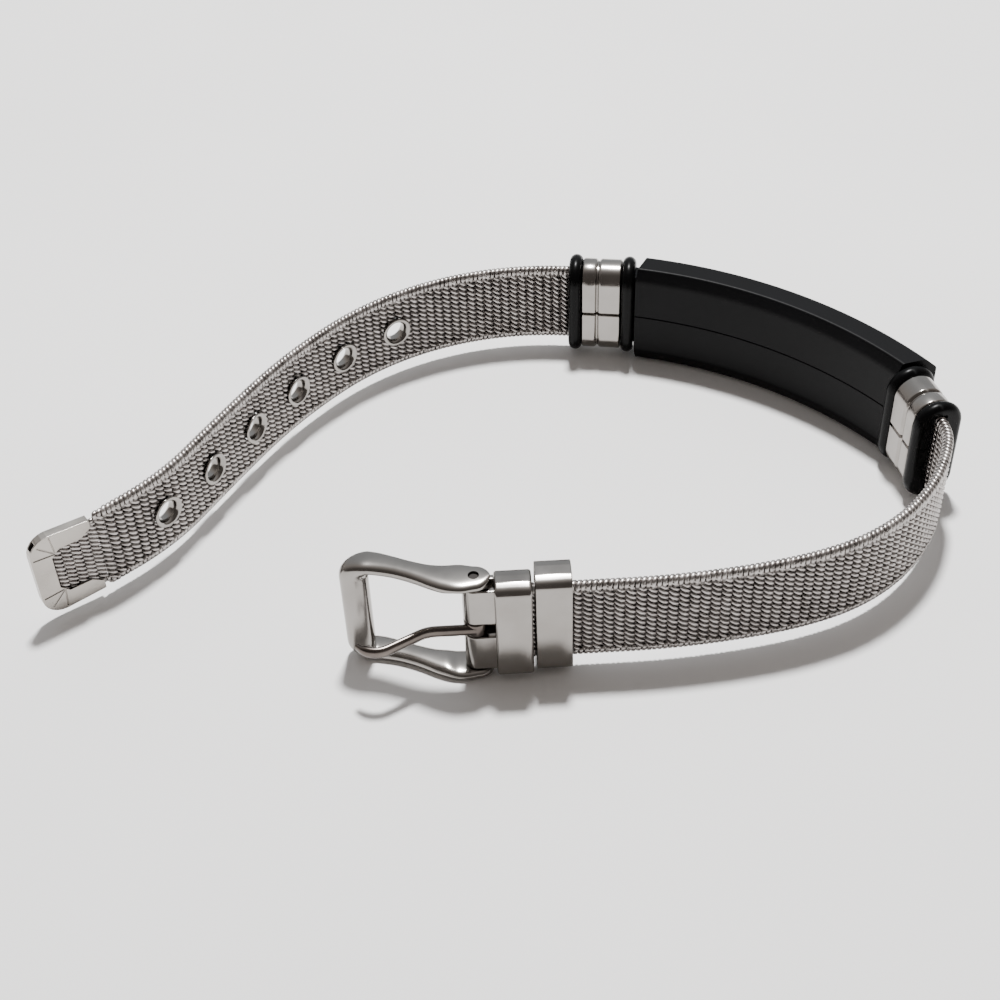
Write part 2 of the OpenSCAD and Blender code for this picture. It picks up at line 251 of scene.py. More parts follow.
def softened(corners):
    """Points round a polygon with soft corners, each corner as (left, up, softness).

    Each corner is a parabola between two points at the softness before and after it.
    """
    points = []
    for k, (x, y, r) in enumerate(corners):
        p = np.array([x, y])
        before = np.array(corners[k - 1][:2]) - p
        after = np.array(corners[(k + 1) % len(corners)][:2]) - p
        a = p + before / np.linalg.norm(before) * r
        b = p + after / np.linalg.norm(after) * r
        t = np.linspace(0, 1, 6)[:, None] if r else np.array([[0.0]])
        points.append((1 - t) ** 2 * a + 2 * t * (1 - t) * p + t ** 2 * b)
    return np.concatenate(points)


def crowned_loop(height, thickness):
    """An upright loop whose top and bottom slope a little towards each face, as left, up and outward.

    The outward direction at a point is square to the line between its two neighbours.
    """
    t, h, bevel, fall = thickness / 2, height / 2, 1.35, 0.36
    quarter = [(t, h - fall, 0.85), (t - bevel, h, 0.12)]
    corners = quarter + [(-x, y, r) for x, y, r in quarter[::-1]]
    points = softened(corners + [(-x, -y, r) for x, y, r in corners])
    way = np.roll(points, -1, 0) - np.roll(points, 1, 0)
    way /= np.linalg.norm(way, axis=1, keepdims=True)
    return points[:, 0], points[:, 1], way[:, 1], -way[:, 0]


def hoop(pose, loop, along, out, shift=0.0, dent=None):
    """A ring body: the closed section (along, out) carried round a loop, out measured along its normal.

    A dent is (depth at each loop point, its share at each section point) and goes inwards.
    """
    left, up, out_left, out_up = loop
    a, o = np.asarray(along, float)[None, :], np.asarray(out, float)[None, :] + 0 * left[:, None]
    if dent:
        o = o - dent[0][:, None] * dent[1][None, :]
    points = stand(pose, a + 0 * o, shift + left[:, None] + o * out_left[:, None],
                   up[:, None] + o * out_up[:, None])
    return points.reshape(-1, 3), grid_faces(len(left), points.shape[1], True, True)


def barrel(pose, section):
    """A body of revolution round the upright through the pose, from its closed section (radius, up)."""
    turn = np.linspace(0, 2 * math.pi, 40, endpoint=False)[:, None]
    r, z = section[None, :, 0], section[None, :, 1]
    points = stand(pose, r * np.cos(turn), r * np.sin(turn), z + 0 * turn)
    return points.reshape(-1, 3), grid_faces(len(turn), len(section), True, True)


# Materials

def linear(code):
    """An sRGB hex colour as linear RGBA: (c / 12.92) below 0.04045, else ((c + 0.055) / 1.055) ^ 2.4."""
    c = [int(code[i:i + 2], 16) / 255 for i in (1, 3, 5)]
    return [v / 12.92 if v <= 0.04045 else ((v + 0.055) / 1.055) ** 2.4 for v in c] + [1.0]


def add(tree, kind, settings=None, links=None):
    """Adds a node with its settings, an input by its name or number, and links inputs to sockets."""
    node = tree.nodes.new(kind)
    for key, value in (settings or {}).items():
        if isinstance(key, int) or key in node.inputs:
            node.inputs[key].default_value = value
        else:
            setattr(node, key, value)
    for key, socket in (links or {}).items():
        tree.links.new(socket, node.inputs[key])
    return node


def new_material(name):
    material = bpy.data.materials.new(name)
    material.use_nodes = True
    material.node_tree.nodes.clear()
    return material, material.node_tree


def noise(tree, size, detail):
    """Cloudy noise with patches of about the given size in millimetres, laid by object coordinates."""
    where = add(tree, "ShaderNodeTexCoord")
    return add(tree, "ShaderNodeTexNoise", {"Scale": 1 / (size * MM), "Detail": detail},
               {"Vector": where.outputs["Object"]}).outputs["Fac"]


def ramp(tree, socket, stops):
    """A colour ramp with (position, hex colour) stops."""
    node = add(tree, "ShaderNodeValToRGB", links={0: socket})
    while len(node.color_ramp.elements) < len(stops):
        node.color_ramp.elements.new(0.5)
    for element, (position, code) in zip(node.color_ramp.elements, stops):
        element.position = position
        element.color = linear(code)
    return node.outputs["Color"]


def spread(tree, socket, low, high):
    """The noise's usual span laid over the values from low to high."""
    settings = {"From Min": 0.3, "From Max": 0.7, "To Min": low, "To Max": high}
    return add(tree, "ShaderNodeMapRange", settings, {"Value": socket}).outputs["Result"]


def finished(tree, settings, links):
    """Ends a material's tree with a Principled shader and its output."""
    shader = add(tree, "ShaderNodeBsdfPrincipled", settings, links)
    add(tree, "ShaderNodeOutputMaterial", links={"Surface": shader.outputs["BSDF"]})


def polished_steel(name, light, dark, rough, round_edges=0.0):
    """Stainless steel, tumbled and polished: a soft mirror with faint clouds and a very fine grain.

    round_edges is the radius in metres by which the shading rounds the edges of a CAD node.
    """
    material, tree = new_material(name)
    clouds = noise(tree, 4, 3.0)
    links = {"Height": noise(tree, 0.12, 2.0)}
    if round_edges:
        bevel = add(tree, "ShaderNodeBevel", {"Radius": round_edges, "samples": 8})
        links["Normal"] = bevel.outputs["Normal"]
    bump = add(tree, "ShaderNodeBump", {"Strength": 0.08, "Distance": 0.01 * MM}, links)
    finished(tree, {"Metallic": 1.0},
             {"Base Color": ramp(tree, clouds, [(0.3, dark), (0.7, light)]),
              "Roughness": spread(tree, clouds, rough * 0.85, rough * 1.2),
              "Normal": bump.outputs["Normal"]})
    return material


def steel_wire():
    """Drawn stainless wire: a soft sheen in which each loop catches the light a little differently."""
    material, tree = new_material("drawn_steel_wire")
    clouds = noise(tree, 0.9, 2.0)
    finished(tree, {"Metallic": 1.0},
             {"Base Color": ramp(tree, clouds, [(0.3, "#938e8b"), (0.7, "#c2bdba")]),
              "Roughness": spread(tree, clouds, 0.25, 0.42)})
    return material


def moulded_rubber(name, light, dark, rough, grain):
    """Moulded black silicone rubber: nearly black, with a 0.2 mm grain that softens its weak sheen."""
    material, tree = new_material(name)
    fine = noise(tree, 0.2, 2.0)
    bump = add(tree, "ShaderNodeBump", {"Strength": grain, "Distance": 0.02 * MM}, {"Height": fine})
    finished(tree, {"Metallic": 0.0, "Specular IOR Level": 0.1},
             {"Base Color": ramp(tree, noise(tree, 6, 3.0), [(0.3, dark), (0.7, light)]),
              "Roughness": spread(tree, fine, rough * 0.9, rough * 1.15),
              "Normal": bump.outputs["Normal"]})
    return material


# The fittings mirror the room. The CAD pieces among them get round edges from the shading alone.
STEEL = polished_steel("polished_steel", "#9a9692", "#8e8a86", 0.17)
STEEL_CAD = polished_steel("polished_steel_edges", "#9a9692", "#8e8a86", 0.22, 0.25 * MM)

# The pin's ends are painted nearly black as shade in their recesses, the tongue is painted darker than
# the frame as shade of the dark room it mirrors, and the tip's sheet is duller, with a tone painted
# lighter for more light on it.
PIN_PAINTED_SHADE = polished_steel("pin_end_painted_shade", "#2c2a29", "#1c1b1a", 0.4, 0.1 * MM)
TONGUE_PAINTED_SHADE = polished_steel("tongue_steel_painted_shade", "#6e6762", "#5a534f", 0.24)
TIP_PAINTED_LIGHTER = polished_steel("folded_sheet_painted_lighter", "#b2ada7", "#9f9a94", 0.3, 0.08 * MM)

WIRE = steel_wire()
RUBBER = moulded_rubber("moulded_black_rubber", "#08080a", "#050506", 0.42, 0.2)
RING_RUBBER = moulded_rubber("moulded_ring_rubber", "#060607", "#040404", 0.3, 0.1)


# The woven bands

# A column's width, the turns of each of its coils, how far a coil reaches from the column's middle in
# column widths, and how much more than evenly it climbs on the faces
COLUMN, TURNS, REACH, CLIMB = 1.06, 7, 0.52, 0.11

# Half sizes of a coil's wire, the core's and the edge's, where they are thickest
WIRE_WIDE, WIRE_R = 0.24, 0.19
CORE_WIDE, CORE_SHARE = 0.44, 0.75
EDGE_WIDE, EDGE_THICK = 0.26, 0.17

# Coils and core end this far inside the edge, and the edge wires' legs reach down by the last
COIL_IN, CORE_IN, LEG = 0.3, 0.5, 0.55

# The band gets lower and thinner over these lengths before the tip
LOWER_OVER, THINNER_OVER = 1.2, 3
SIDES = 6
UPRIGHT, ALONG = (0.0, 0.0, 1.0), (1.0, 0.0, 0.0)


def smooth_step(x):
    x = np.clip(x, 0, 1)
    return x * x * (3 - 2 * x)


def tubes(line, upright, wide, thick):
    """Oval rings round each point of the lines, square to them: wide towards an upright, thick across."""
    way = np.gradient(line, axis=1)
    way /= np.linalg.norm(way, axis=-1, keepdims=True)
    over = np.array(upright) - way * np.sum(way * upright, -1, keepdims=True)
    over /= np.linalg.norm(over, axis=-1, keepdims=True)
    across = np.cross(way, over)
    ring = np.arange(SIDES) * 2 * math.pi / SIDES
    return (line[:, :, None, :] + wide * np.cos(ring)[:, None] * over[:, :, None, :]
            + thick * np.sin(ring)[:, None] * across[:, :, None, :])


def woven(start, run, s0, s1, holes, pinch_from):
    """A band of flattened wire coils: two upright coils for each column, hooked into the next columns'.

    A coil's middle line at the angle t is (column - a cos t) along the band, b sin t to the left, and
    two rows up for each turn, less c sin 2t, so that it climbs most on the faces. Its wire is thickest
    there, where |sin t| is 1. The second coil of a column starts half a turn later, and those of the odd
    columns a quarter of a turn. An oval core stands upright inside each column. Over each edge of the
    band, two wires for each column bend round in a half circle from face to face. Where an eyelet
    passes through, the rings of the tubes inside its hole are left out, and the next ones are pushed
    to its edge.
    """
    columns = int(round((s1 - s0) / COLUMN))
    middle = (s0 + (np.arange(columns) + 0.5) * (s1 - s0) / columns)[:, None]
    into, thinner = [0 * middle if pinch_from is None else smooth_step((middle - pinch_from + l) / l)
                     for l in (LOWER_OVER, THINNER_OVER)]
    half = BAND_H / 2 - WIRE_R - into * (BAND_H - PINCH_H) / 2
    thick = BAND_T / 2 - WIRE_R - thinner * (BAND_T - PINCH_T) / 2 + 0 * middle
    drop = thinner * TIP_DROP
    t = np.linspace(0, 2 * math.pi * TURNS, 11 * TURNS + 1)[None, :]
    coils, swell = [], []
    for later in (0, math.pi):
        angle = t + later + math.pi / 2 * (np.arange(columns) % 2)[:, None]
        along = middle - REACH * COLUMN * np.cos(angle)
        up = (half - COIL_IN) * (2 * t / t[0, -1] - 1) - drop - CLIMB * np.sin(2 * angle)
        coils.append(np.stack([along, thick * np.sin(angle), up], -1))
        swell.append(0.5 + 0.5 * np.abs(np.sin(angle)))
    swell = np.concatenate(swell)[:, :, None, None]
    rise = np.linspace(-1, 1, 14)[None, :]
    core = np.stack(np.broadcast_arrays(middle, 0.0, (half - CORE_IN) * rise - drop), -1)
    core_thick = CORE_SHARE * thick[:, :, None, None]
    coils = np.concatenate(coils)
    shells = [woven_shell(start, run, coils, UPRIGHT, WIRE_WIDE * swell, WIRE_R * swell, holes),
              woven_shell(start, run, core, ALONG, CORE_WIDE, core_thick, holes)]
    bend = np.concatenate([[-1.0], np.linspace(0, 1, 7), [2.0]])[None, :]
    around = math.pi * np.clip(bend, 0, 1)
    leg = np.where((bend < 0) | (bend > 1), LEG, 0.0)
    for edge in (-1, 1):
        for offset in (-0.25, 0.25):
            along = middle + offset * COLUMN + 0.2 * np.cos(around) * edge
            up = edge * (half - thick + thick * np.sin(around) - leg) - drop
            cap = np.stack([along, thick * np.cos(around), up], -1)
            shells.append(woven_shell(start, run, cap, ALONG, EDGE_WIDE, EDGE_THICK, []))
    return shells


def woven_shell(start, run, line, upright, wide, thick, holes):
    """Tubes round the lines, laid along the run, without the rings that lie inside a hole."""
    tube = tubes(line, upright, wide, thick)
    keep = np.ones(line.shape[:2], bool)
    for hole in holes:
        keep &= np.hypot(line[..., 0] - hole, line[..., 2]) > RIM_R - 0.1
        ds, dz = tube[..., 0] - hole, tube[..., 2]
        push = np.maximum(1, (RIM_R - 0.2) / np.maximum(np.hypot(ds, dz), 1e-6))
        tube[..., 0] = hole + ds * push
        tube[..., 2] = dz * push
    points = lay(start, run, tube[..., 0], tube[..., 1], tube[..., 2]).reshape(-1, 3)
    number = np.arange(keep.size * SIDES).reshape(*keep.shape, SIDES)
    joined = keep[:, :-1] | keep[:, 1:]
    outside = np.zeros((len(keep), 1), bool)
    before = np.concatenate([outside, joined], 1)
    after = np.concatenate([joined, outside], 1)
    a, b = number[:, :-1][joined], number[:, 1:][joined]
    quads = np.stack([a, np.roll(a, -1, 1), np.roll(b, -1, 1), b], -1).reshape(-1, 4)
    first, last = number[after & ~before][:, ::-1], number[before & ~after]
    used = np.zeros(len(points), bool)
    used[number[before | after].reshape(-1)] = True
    new = np.cumsum(used) - 1
    return points[used], new[quads].tolist() + new[first].tolist() + new[last].tolist()


# The weave ends this far inside a fitting's pocket, and inside the tip
POCKET_IN, TIP_IN = 0.9, 1.2
EYELET_PLACES = [FIRST_EYELET + k * EYELET_PITCH for k in range(EYELETS)]
BAND_BACK = -RING_L - JOINT_GAP - BAND_DEPTH + POCKET_IN
STRAP_END = STRAP_L + CLAMP_FACE - CLAMP_L + BAND_DEPTH - POCKET_IN
piece("tail_weave",
      woven(TAIL_START, TAIL_RUN, BAND_BACK, TAIL_L - TIP_IN, EYELET_PLACES, TAIL_L - TIP_L),
      WIRE, "strap", ["tail_band"], 180, False)
piece("short_weave", woven(STRAP_START, STRAP_RUN, BAND_BACK, STRAP_END, [], None),
      WIRE, "strap", ["short_band"], 180, False)


# Eyelets

def eyelet(pose):
    """A flanged tube turned round the hole's axis: the radius and depth of its section go round a circle.

    The section is a thin wall from face to face with a rolled lip on each, closed on itself: outside
    the lip's crest a small arc, and inside it a quarter of an ellipse that runs down into the hole.
    """
    face = BAND_T / 2 + 0.06
    lip = RIM_T / 2
    crest = RIM_R - 0.17
    outer = arc(RIM_R - lip, face + lip, lip, -90, 60, 7)
    funnel = (arc(0, 0, 1, 90, 180, 8) * [crest - EYELET_R, 0.8]) + [crest, face + RIM_T - 0.8]
    back = RIM_R - 0.35
    half = np.concatenate([[[back, 0.02], [back, face]], outer, funnel, [[EYELET_R, 0.02]]])
    section = np.concatenate([half, half[::-1] * [1, -1]])
    turn = np.linspace(0, 2 * math.pi, 40, endpoint=False)[:, None]
    radius, depth = section[None, :, 0], section[None, :, 1]
    points = stand(pose, radius * np.cos(turn), depth + 0 * turn, radius * np.sin(turn))
    return points.reshape(-1, 3), grid_faces(len(turn), len(section), True, True)


for k, place in enumerate(EYELET_PLACES, 1):
    piece(f"eyelet_rim_{k}", [eyelet(pose_at(TAIL_START, TAIL_RUN, place))], STEEL, "strap",
          [f"eyelet_{k}"], 50)


# Sleeves and rubber rings

def rubber_ring(pose, hole_h, hole_t):
    """A rubber ring with a full round rim, and two flat faces that reach in to the slot through it.

    Its section starts at the slot on one face, follows the rim as a half circle of the ring's length,
    and ends at the slot on the other face. The slot's own loop has as many points as the rim's.
    """
    r = RING_L / 2
    a = np.radians(np.linspace(0, 180, 17))
    along = np.concatenate([[0.0], r - r * np.cos(a), [RING_L]])[None, :]
    out = np.concatenate([[0.0], r * np.sin(a) - r, [0.0]])[None, :]
    rim = np.concatenate([[0.0], np.ones(len(a)), [0.0]])[None, :]
    left, up, out_left, out_up = [v[:, None] for v in rounded_loop(RING_H, RING_T, RING_T / 2, 14)]
    slot_left, slot_up = [v[:, None] for v in rounded_loop(hole_h + 0.2, hole_t + 0.2, 0.2, 14)[:2]]
    points = stand(pose, along + 0 * left, (left + out * out_left) * rim + slot_left * (1 - rim),
                   (up + out * out_up) * rim + slot_up * (1 - rim))
    return points.reshape(-1, 3), grid_faces(len(left), points.shape[1], True, True)


def sleeve(pose, inner_side):
    """A steel sleeve: rounded ends, a groove at two fifths of its length, a seam along its inner face."""
    wall, r, seam = 1.1, 0.25, (-0.24, -0.2, -0.12, 0.12, 0.2, 0.24)
    g = 0.4 * SLEEVE_L
    groove = [[g - 0.42, 0.0], [g - 0.28, -0.04], [g - 0.15, -0.16], [g - 0.06, -0.28],
              [g + 0.06, -0.28], [g + 0.15, -0.16], [g + 0.28, -0.04], [g + 0.42, 0.0]]
    section = np.concatenate([arc(r, -r, r, 180, 90), groove, arc(SLEEVE_L - r, -r, r, 90, 0),
                              [[SLEEVE_L, -wall], [0, -wall]]])
    loop = rounded_loop(SLEEVE_H, SLEEVE_T, SLEEVE_T / 2, 14, seam)
    depth = np.where(loop[0] * inner_side > 0, 0.4 * np.clip((0.22 - np.abs(loop[1])) / 0.1, 0, 1), 0.0)
    share = np.ones(len(section))
    share[-2:] = 0
    start = offset_pose(pose, RING_L + JOINT_GAP)
    return hoop(start, loop, section[:, 0], section[:, 1], 0.0, (depth, share))


for side, end, inner_side in (("left", LEFT_END, -1), ("right", RIGHT_END, 1)):
    piece(f"{side}_outer_rubber", [rubber_ring(end, BAND_H, BAND_T)], RING_RUBBER, "strap",
          [f"{side}_outer_ring"], 60)
    piece(f"{side}_inner_rubber", [rubber_ring(offset_pose(end, FITTING_L - RING_L), TENON_H, TENON_T)],
          RING_RUBBER, "strap", [f"{side}_inner_ring"], 60)
    piece(f"{side}_steel_sleeve", [sleeve(end, inner_side)], STEEL, "strap",
          [f"{side}_sleeve"], 50)


# Keeper and end clamp

def sheet_wall(length, wall, r=0.12):
    """The section of a sheet loop: a wall with four rounded corners."""
    points = np.concatenate([arc(r, -r, r, 180, 90), arc(length - r, -r, r, 90, 0),
                             arc(length - r, r - wall, r, 0, -90), arc(r, r - wall, r, -90, -180)])
    return points[:, 0], points[:, 1]


KEEPER_GAP, KEEPER_WALL = 0.3, 0.4
piece("keeper_loop",
      [hoop(offset_pose(CLASP, CLAMP_FACE - CLAMP_L - KEEPER_GAP - KEEPER_L),
            crowned_loop(KEEPER_H, KEEPER_T), *sheet_wall(KEEPER_L, KEEPER_WALL), KEEPER_OUT)],
      STEEL, "keeper", ["keeper"], 50)


def clamp_block():
    """The clamp's block: a rounded upright section carried along the strap, with rounded end edges.

    Its first rings go from the floor of the band's pocket out to the open face.
    """
    r = 0.3
    ends = np.concatenate([arc(r, -r, r, 180, 90), arc(CLAMP_L - r, -r, r, 90, 0)])
    left, up, out_left, out_up = crowned_loop(CLAMP_H, CLAMP_T)
    slot_left = np.clip(left, -BAND_T / 2 - SLOT_GAP, BAND_T / 2 + SLOT_GAP)
    slot_up = np.clip(up, -BAND_H / 2 - SLOT_GAP, BAND_H / 2 + SLOT_GAP)
    back = CLAMP_FACE - CLAMP_L
    rings = [stand(CLASP, back + along, slot_left, slot_up) for along in (BAND_DEPTH, 0.0)]
    for along, out in ends:
        rings.append(stand(CLASP, back + along, CLAMP_OUT + left + out * out_left, up + out * out_up))
    return np.concatenate(rings), capped(len(rings), len(left))


def lug(side):
    """One lug of the clamp: a tube round the pin, and on each face a plate that joins it to the block."""
    r, low, high = 0.15, LUG_LOW, LUG_LOW + LUG_H
    bore = PIN_R + 0.02
    section = np.concatenate([arc(KNUCKLE_R - r, high - r, r, 0, 90),
                              arc(bore + 0.05, high - 0.05, 0.05, 90, 180),
                              arc(bore + 0.05, low + 0.05, 0.05, 180, 270),
                              arc(KNUCKLE_R - r, low + r, r, -90, 0)])
    plate = KNUCKLE_R - bore - 0.06
    left, up = rounded_loop(LUG_H, plate, r)[:2]
    shells = [barrel(CLASP, section * [1, side])]
    middle = side * (low + high) / 2
    for face in (-1, 1):
        shift = face * (KNUCKLE_R - 0.02 - plate / 2)
        rings = [stand(CLASP, along, shift + left, middle + up) for along in (CLAMP_FACE - 0.3, 0)]
        shells.append((np.concatenate(rings), capped(2, len(left))))
    return shells


piece("clamp_with_lugs", [clamp_block(), *lug(1), *lug(-1)], STEEL, "strap", ["end_clamp"], 50)


# The rubber bar

BAR_RUN = [(BAR_L, -math.degrees(BAR_L / BAR_R))]


def bar_outline():
    """The bar's section as left and up: a flat inner face with a slit at mid height, and soft edges."""
    h = BAR_H / 2
    inner = -BAR_IN
    return softened([(inner, 0.1, 0), (inner + 0.18, 0.0, 0), (inner, -0.1, 0), (inner, 1.5 - h, 0.35),
                     (inner + 0.6, -h, 0.25), (0.5, -h, 0.3), (BAR_OUT, 1.4 - h, 0.3),
                     (BAR_OUT, h - 1.4, 0.3), (0.5, h, 0.3), (inner + 0.6, h, 0.25),
                     (inner, h - 1.5, 0.35)])


def trimmed(outline, pose, slant, ahead):
    """The distance along the bar's arc at which each line of its outline meets an end plane.

    The plane stands on the pose, turned by the slant. Each line is an arc round the bar's centre with
    the radius BAR_R plus its offset; the meeting point is found by stepping s by the point's distance
    from the plane until it is nil.
    """
    a = math.radians(pose[2] + slant)
    s = np.full(len(outline), 0.0 if ahead else BAR_L)
    for _ in range(12):
        x, y, h = course(BAR_START, BAR_RUN, s)
        px, py = x - outline[:, 0] * np.sin(h), y + outline[:, 0] * np.cos(h)
        gap = (px - pose[0]) * math.cos(a) + (py - pose[1]) * math.sin(a)
        s = s - gap / np.cos(h - a)
    return s


def bar_shell():
    """The bar: its outline swept along the arc between the two end planes, with a cap at each end."""
    outline = bar_outline()
    s0 = trimmed(outline, offset_pose(LEFT_END, FITTING_L + BAR_GAP, -BAR_IN), -20, True)
    s1 = trimmed(outline, offset_pose(RIGHT_END, FITTING_L + BAR_GAP), 0, False)
    t = np.linspace(0, 1, 48)[:, None]
    s = s0 * (1 - t) + s1 * t
    points = lay(BAR_START, BAR_RUN, s, outline[None, :, 0] + 0 * s, outline[None, :, 1] + 0 * s)
    return points.reshape(-1, 3), capped(len(t), len(outline))


def tenon(pose):
    """The block of rubber that goes from the bar's end into the sleeve, through the inner ring."""
    h, t = TENON_H / 2, TENON_T / 2
    ends = [RING_L + JOINT_GAP + SLEEVE_L - 1.2, FITTING_L + 2.2]
    along, left, up = np.meshgrid(ends, [-t, t], [-h, h], indexing="ij")
    faces = [(0, 1, 3, 2), (4, 6, 7, 5), (0, 4, 5, 1), (2, 3, 7, 6), (0, 2, 6, 4), (1, 5, 7, 3)]
    return stand(pose, along, left, up).reshape(-1, 3), faces


piece("rubber_bar", [bar_shell(), tenon(LEFT_END), tenon(RIGHT_END)], RUBBER, "strap",
      ["bar"], 30)


# The buckle

# An arm's rows: the distance from the pin, the arm's half width, and how far it is bent to the right
ARM_ROWS = np.array([[0, 1.6, 0], [1.2, 1.8, 0.05], [2.6, 1.65, 0.15], [4, 1.4, 0.5], [6, 1.15, 1.4],
                     [8, 1.15, 2.3], [9.6, 1.25, 2.85], [11.4, 1.2, 3.15], [13, 0.8, 3.1]])


def through(rows, x, column):
    """A smooth curve through a table's rows: cubics with the slopes between each row's neighbours."""
    u, v = rows[:, 0], rows[:, column]
    slope = np.gradient(v, u)
    k = np.clip(np.searchsorted(u, x) - 1, 0, len(u) - 2)
    w = u[k + 1] - u[k]
    t = np.clip((x - u[k]) / w, 0, 1)
    return ((2 * t ** 3 - 3 * t ** 2 + 1) * v[k] + (t ** 3 - 2 * t ** 2 + t) * w * slope[k]
            + (3 * t ** 2 - 2 * t ** 3) * v[k + 1] + (t ** 3 - t ** 2) * w * slope[k + 1])


def frame_shell():
    """The buckle's frame: one rounded section from ear to ear, along both arms and the front bar.

    The section's half width lies across the band's plane and its half depth points away from the
    opening. Along each arm the course follows the table; at each corner it turns a quarter circle and
    the depth grows from the arm's to the bar's.
    """
    bar_u, bar_half, bar_n, bar_w = 11.85, 1.45, -3.1, 1.05
    turn_r, ear_r = 1.5, 1.6
    ear = -ear_r * np.cos(np.linspace(0, math.pi / 2, 9))
    arm = np.concatenate([ear, np.linspace(0, bar_u - turn_r, 36)[1:]])
    bend = np.linspace(0, math.pi / 2, 12)[1:]
    grow = smooth_step(bend / (math.pi / 2))
    down = np.zeros(7)
    ahead, fuller = np.maximum(arm, 0), smooth_step(arm / 4)
    width = np.where(arm < 0, np.sqrt(np.maximum(ear_r ** 2 - arm ** 2, 1e-3)),
                     through(ARM_ROWS, ahead, 1) + 0.15 * fuller)
    n = np.where(arm < 0, 0.0, -through(ARM_ROWS, ahead, 2) - 0.08 * fuller)
    depth = ARM_T / 2 + 0.13 * smooth_step((arm - 1.8) / 1.5)
    low = FRAME_H / 2 - depth[-1]
    u = np.concatenate([arm, bar_u - turn_r + turn_r * np.sin(bend), down + bar_u])
    z = np.concatenate([FRAME_H / 2 - depth, low - turn_r + turn_r * np.cos(bend),
                        np.linspace(low - turn_r, 0, 8)[1:]])
    n = np.concatenate([n, n[-1] + (bar_n - n[-1]) * grow, down + bar_n])
    width = np.concatenate([width, width[-1] + (bar_w - width[-1]) * grow, down + bar_w])
    depth = np.concatenate([depth, depth[-1] + (bar_half - depth[-1]) * grow, down + bar_half])
    face = np.concatenate([np.full(len(arm), math.pi / 2), math.pi / 2 - bend, down])
    u, n, width, depth = [np.concatenate([v, v[-2::-1]]) for v in (u, n, width, depth)]
    z, face = [np.concatenate([v, -v[-2::-1]]) for v in (z, face)]
    x, y = superellipse(36, 2.5)
    u, n, z, width, depth, face = [v[:, None] for v in (u, n, z, width, depth, face)]
    out = depth * y[None, :]
    points = stand(CLASP, u + out * np.cos(face), n + width * x[None, :], z + out * np.sin(face))
    return points.reshape(-1, 3), capped(len(u), len(x))


def bored(obj, pose, radius, depth):
    """Cuts an upright hole through a piece at a pose, and keeps the result as its mesh."""
    drill = bpy.data.objects.new("drill", bpy.data.meshes.new("drill"))
    bpy.context.scene.collection.objects.link(drill)
    a = np.linspace(0, 2 * math.pi, 32, endpoint=False)[None, :]
    ends = np.array([-depth, depth])[:, None]
    points = stand(pose, radius * np.cos(a), radius * np.sin(a), ends).reshape(-1, 3)
    drill.data.from_pydata((points * MM).tolist(), [], outward(points, capped(2, a.size)))
    cut = obj.modifiers.new("hole", "BOOLEAN")
    cut.object, cut.operation, cut.solver = drill, "DIFFERENCE", "EXACT"
    bpy.context.view_layer.update()
    done = bpy.data.meshes.new_from_object(obj.evaluated_get(bpy.context.evaluated_depsgraph_get()))
    obj.modifiers.remove(cut)
    obj.data = done
    bpy.data.objects.remove(drill)


buckle = piece("buckle_bow", [frame_shell()], STEEL, "frame", ["buckle_frame"], 50, False)
bored(buckle, CLASP, PIN_R + 0.05, FRAME_H)
buckle.modifiers.new("even_normals", "WEIGHTED_NORMAL").keep_sharp = True


def tongue_shells():
    """The tongue: a rounded bar swept along its bent run to a tapered end, and a barrel round the pin.

    The taper takes 0.35 of both half sizes off, by a smooth step over the last stretch.
    """
    beside, half_left, half_up, end_l = 0.87, 0.45, 0.65, 1.2
    start = offset_pose(CLASP, 0.0, beside)
    length = sum(l for l, turn in TONGUE_RUN)
    s = np.linspace(0, length, 60)[:, None]
    x, y = superellipse(20, 2.1)
    taper = 1 - 0.35 * smooth_step((s - length + end_l) / end_l)
    points = lay(start, TONGUE_RUN, s + 0 * x, half_left * taper * x, half_up * taper * y)
    top = np.concatenate([arc(KNUCKLE_R - 0.2, 0.65, 0.2, 0, 90), arc(0.65, 0.75, 0.1, 90, 180)])
    section = np.concatenate([top, top[::-1] * [1, -1]])
    return [(points.reshape(-1, 3), capped(len(s), len(x))), barrel(CLASP, section)]


# The tongue's steel is painted darker than the frame's, as painted shade of the dark room it mirrors.
piece("tongue_wire", tongue_shells(), TONGUE_PAINTED_SHADE, "tongue", ["tongue"], 50)


# CAD nodes that stay as they are

# The hinge pin's ends get painted shade: a nearly black steel standing for the shade in their recesses.
# The tip's sheet is duller, and its tone is painted lighter than the other steel's, as painted light.
for name, material in (("hinge_pin", PIN_PAINTED_SHADE), ("cross_plate", STEEL_CAD), ("end_tip", TIP_PAINTED_LIGHTER)):
    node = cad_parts[name]
    node.data.materials.clear()
    node.data.materials.append(material)


# Floor, light and camera

def floor_material():
    """A matt white sweep of board."""
    material, tree = new_material("matt_white_board")
    white = ramp(tree, noise(tree, 60, 2.0), [(0.3, "#f1f0ef"), (0.7, "#f6f5f4")])
    finished(tree, {"Roughness": 0.7}, {"Base Color": white})
    return material


# A floor 4 m square
floor_mesh = bpy.data.meshes.new("floor")
floor_mesh.from_pydata([(-2, -2, 0), (2, -2, 0), (2, 2, 0), (-2, 2, 0)], [], [(0, 1, 2, 3)])
floor = bpy.data.objects.new("floor", floor_mesh)
bpy.context.scene.collection.objects.link(floor)
floor.data.materials.append(floor_material())

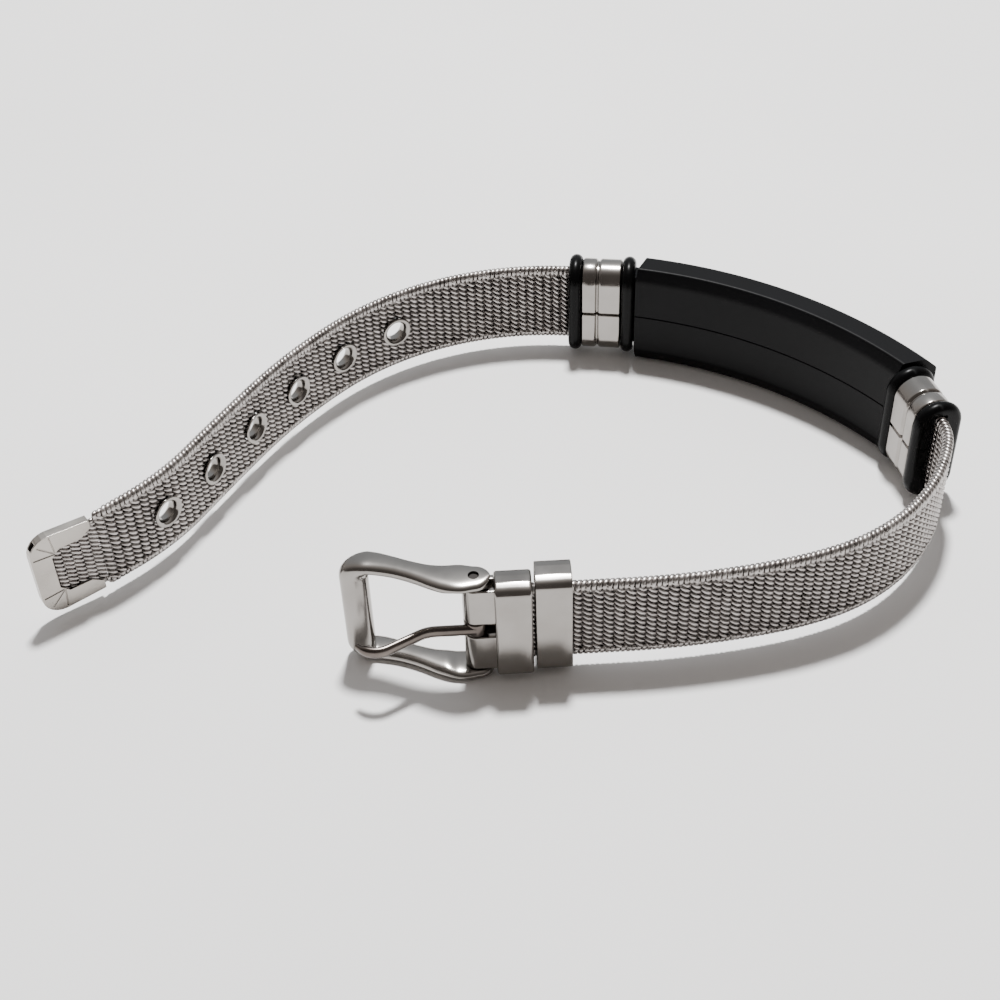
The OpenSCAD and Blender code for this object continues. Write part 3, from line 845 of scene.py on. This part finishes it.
# One small soft lamp, behind the bracelet and high above it
KEY_PLACE = Vector((0.026, 0.155, 0.527))
key_light = bpy.data.lights.new("key", "AREA")
key_light.shape = "DISK"
key_light.size = 0.06
key_light.energy = 6.5
key = bpy.data.objects.new("key", key_light)
key.location = KEY_PLACE
key.rotation_euler = (-KEY_PLACE).to_track_quat("-Z", "Y").to_euler()
bpy.context.scene.collection.objects.link(key)

# A pale wall behind the bracelet, and a dark room behind the camera
world = bpy.data.worlds.new("studio")
bpy.context.scene.world = world
world.use_nodes = True
tree = world.node_tree
tree.nodes.clear()
where = add(tree, "ShaderNodeTexCoord")
towards = add(tree, "ShaderNodeVectorMath", {"operation": "DOT_PRODUCT", 1: (0.0, 0.9, 0.436)},
              {0: where.outputs["Generated"]})
place = add(tree, "ShaderNodeMapRange", {"From Min": -1.0, "From Max": 1.0},
            {"Value": towards.outputs["Value"]})
sky = ramp(tree, place.outputs["Result"],
           [(0.1, "#6a6460"), (0.45, "#6f6a66"), (0.6, "#9b9592"), (0.75, "#c9c4c0"), (0.95, "#d6dade")])
back = add(tree, "ShaderNodeBackground", {"Strength": 1.0}, {"Color": sky})
add(tree, "ShaderNodeOutputWorld", links={"Surface": back.outputs["Background"]})

# The camera fitted to the photograph
CAMERA_PLACE = (-0.71, -138.0, 127.1)
CAMERA_DOWN, CAMERA_ROLL, CAMERA_LENS = math.radians(42.82), math.radians(-2.45), 59.4
look = np.array([0, math.cos(CAMERA_DOWN), -math.sin(CAMERA_DOWN)])
upward = np.array([0, math.sin(CAMERA_DOWN), math.cos(CAMERA_DOWN)])
right = math.cos(CAMERA_ROLL) * np.array([1, 0, 0]) + math.sin(CAMERA_ROLL) * upward
above = -math.sin(CAMERA_ROLL) * np.array([1, 0, 0]) + math.cos(CAMERA_ROLL) * upward
camera = bpy.data.objects.new("camera", bpy.data.cameras.new("camera"))
camera.data.lens = CAMERA_LENS
camera.data.sensor_width = 36
camera.data.clip_start = 0.01
camera.matrix_world = Matrix([[right[0], above[0], -look[0], CAMERA_PLACE[0] * MM],
                              [right[1], above[1], -look[1], CAMERA_PLACE[1] * MM],
                              [right[2], above[2], -look[2], CAMERA_PLACE[2] * MM], [0, 0, 0, 1]])
bpy.context.scene.collection.objects.link(camera)
bpy.context.scene.camera = camera
